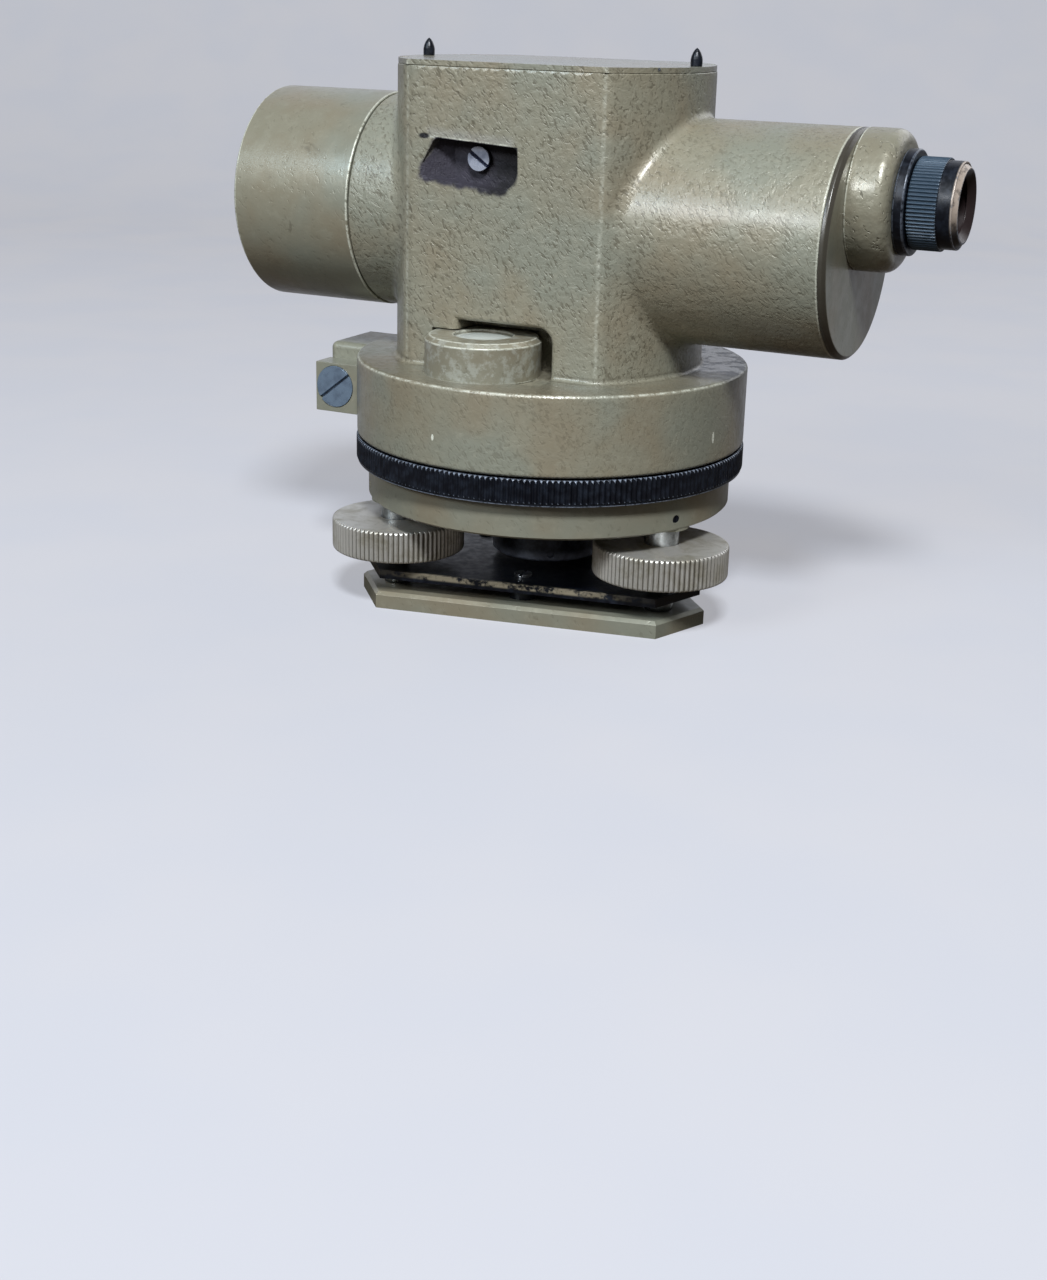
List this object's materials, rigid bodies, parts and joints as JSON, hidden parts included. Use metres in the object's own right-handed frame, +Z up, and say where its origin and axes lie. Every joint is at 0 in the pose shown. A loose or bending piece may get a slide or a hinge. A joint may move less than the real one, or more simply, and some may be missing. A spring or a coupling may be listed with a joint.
{
  "type": "optical level",
  "caption": "Automatic optical level: telescope tower with compensator on a rotating base with a setting circle, tangent screw and levelling tribrach.",
  "frame": {"origin": "where the vertical axis meets the underside of the base plate, at the mouth of the tripod screw's thread", "axes": "+Z up along the vertical axis, +X from the objective to the eyepiece, +Y to the side of the focus knob"},
  "size_m": [0.1902, 0.1119, 0.1459],
  "materials": {
    "hammertone": "olive bronze hammertone paint",
    "satin_bronze": "smooth satin bronze paint",
    "black": "black anodised, satin",
    "alloy": "turned light alloy",
    "steel": "turned steel",
    "brass": "turned brass",
    "glass": "coated optical glass",
    "bubble_glass": "vial glass over pale fluid"
  },
  "bodies": {
    "base": {"base_plate": "satin_bronze", "tripod_bush": "steel", "spring_plate": "black", "spring_plate_posts": "black", "spring_plate_screws": "steel"},
    "head": {"tribrach_head": "satin_bronze", "foot_bushes": "brass", "foot_grub_screws": "steel", "axis_socket": "brass", "hub_cup": "black"},
    "foot_a": {"foot_knob_a": "alloy", "foot_spindle_a": "steel"},
    "foot_b": {"foot_knob_b": "alloy", "foot_spindle_b": "steel"},
    "foot_c": {"foot_knob_c": "alloy", "foot_spindle_c": "steel"},
    "circle": {"circle_ring": "black", "circle_plate": "alloy"},
    "clamp": {"clamp_collar": "brass"},
    "alidade": {"housing": "hammertone", "axis_spindle": "steel", "spindle_nut": "brass", "lid": "hammertone", "lid_screws": "steel", "front_sight": "black", "rear_sight": "black", "tangent_block": "satin_bronze", "tangent_plug": "steel", "objective_sleeve": "satin_bronze", "lens_cell": "black", "crown_lens": "glass", "flint_lens": "glass", "lens_ring": "black", "focus_guide": "alloy", "focus_bush": "brass", "compensator_frame": "alloy", "fixed_prism": "glass", "damper_cylinder": "brass", "suspension_ribbons": "steel", "reticle_cell": "black", "reticle_glass": "glass", "rear_cover": "satin_bronze", "eyepiece_boss": "satin_bronze", "eyepiece_collar": "black", "bubble_housing": "satin_bronze", "bubble_vial": "bubble_glass", "recess_screw": "steel"},
    "tangent_knob": {"tangent_knob": "alloy"},
    "tangent_rod": {"tangent_rod": "steel"},
    "plunger": {"spring_plunger": "steel"},
    "focus_drive": {"focus_knob": "black", "focus_pinion": "steel"},
    "focus_slide": {"focus_tube": "brass", "focus_lens": "glass"},
    "pendulum": {"pendulum_carrier": "brass", "swing_prism": "glass", "damper_piston": "brass"},
    "dioptre": {"dioptre_ring": "black"},
    "ocular": {"ocular_tube": "black", "ocular_lenses": "glass"}
  },
  "joints": [
    {"name": "head_tilt", "type": "hinge", "parent": "base", "child": "head", "pos_m": [0.0039, -0.02064, 0.0066], "axis": [0.9826, 0.1857, 0], "range_deg": [-2, 2]},
    {"name": "foot_c_turn", "type": "hinge", "parent": "base", "child": "foot_c", "pos_m": [-0.0078, 0.04127, 0.0066], "axis": [0, 0, 1], "range_deg": [-1080, 1080]},
    {"name": "foot_a_turn", "type": "hinge", "parent": "head", "child": "foot_a", "pos_m": [0.03964, -0.01388, 0.0066], "axis": [0, 0, 1], "range_deg": [-1080, 1080]},
    {"name": "foot_b_turn", "type": "hinge", "parent": "head", "child": "foot_b", "pos_m": [-0.03184, -0.02739, 0.0066], "axis": [0, 0, 1], "range_deg": [-1080, 1080]},
    {"name": "circle_turn", "type": "hinge", "parent": "head", "child": "circle", "pos_m": [0, 0, 0.04], "axis": [0, 0, 1], "continuous": true},
    {"name": "azimuth_turn", "type": "hinge", "parent": "head", "child": "clamp", "pos_m": [0, 0, 0.05], "axis": [0, 0, 1], "continuous": true},
    {"name": "azimuth_fine", "type": "hinge", "parent": "clamp", "child": "alidade", "pos_m": [0, 0, 0.05], "axis": [0, 0, 1], "range_deg": [-2.5, 2.5]},
    {"name": "tangent_turn", "type": "hinge", "parent": "alidade", "child": "tangent_knob", "pos_m": [-0.059, 0.02, 0.05265], "axis": [0, 1, 0], "range_deg": [-1870, 1870]},
    {"name": "rod_slide", "type": "slide", "parent": "alidade", "child": "tangent_rod", "axis": [0, 1, 0], "range_m": [-0.0026, 0.0026]},
    {"name": "plunger_slide", "type": "slide", "parent": "alidade", "child": "plunger", "axis": [0, 1, 0], "range_m": [-0.0026, 0.0026]},
    {"name": "focus_turn", "type": "hinge", "parent": "alidade", "child": "focus_drive", "pos_m": [-0.014, 0.03, 0.0842], "axis": [0, 1, 0], "range_deg": [-165, 165]},
    {"name": "focus_travel", "type": "slide", "parent": "alidade", "child": "focus_slide", "axis": [1, 0, 0], "range_m": [-0.00575, 0.00575]},
    {"name": "compensator_swing", "type": "hinge", "parent": "alidade", "child": "pendulum", "pos_m": [0.014, 0, 0.13], "axis": [0, 1, 0], "range_deg": [-0.45, 0.45]},
    {"name": "dioptre_turn", "type": "hinge", "parent": "alidade", "child": "dioptre", "pos_m": [0.1, 0, 0.1124], "axis": [1, 0, 0], "range_deg": [-180, 180]},
    {"name": "ocular_travel", "type": "slide", "parent": "alidade", "child": "ocular", "axis": [1, 0, 0], "range_m": [-0.002, 0.002]}
  ],
  "couplings": [
    {"joint": "foot_c_turn", "follows": "head_tilt", "ratio": -527.79},
    {"joint": "tangent_turn", "follows": "azimuth_fine", "ratio": 741.42},
    {"joint": "rod_slide", "follows": "azimuth_fine", "m_per_rad": 0.059},
    {"joint": "plunger_slide", "follows": "azimuth_fine", "m_per_rad": 0.059},
    {"joint": "focus_turn", "follows": "focus_travel", "rad_per_m": 500},
    {"joint": "ocular_travel", "follows": "dioptre_turn", "m_per_rad": 0.0006366}
  ]
}
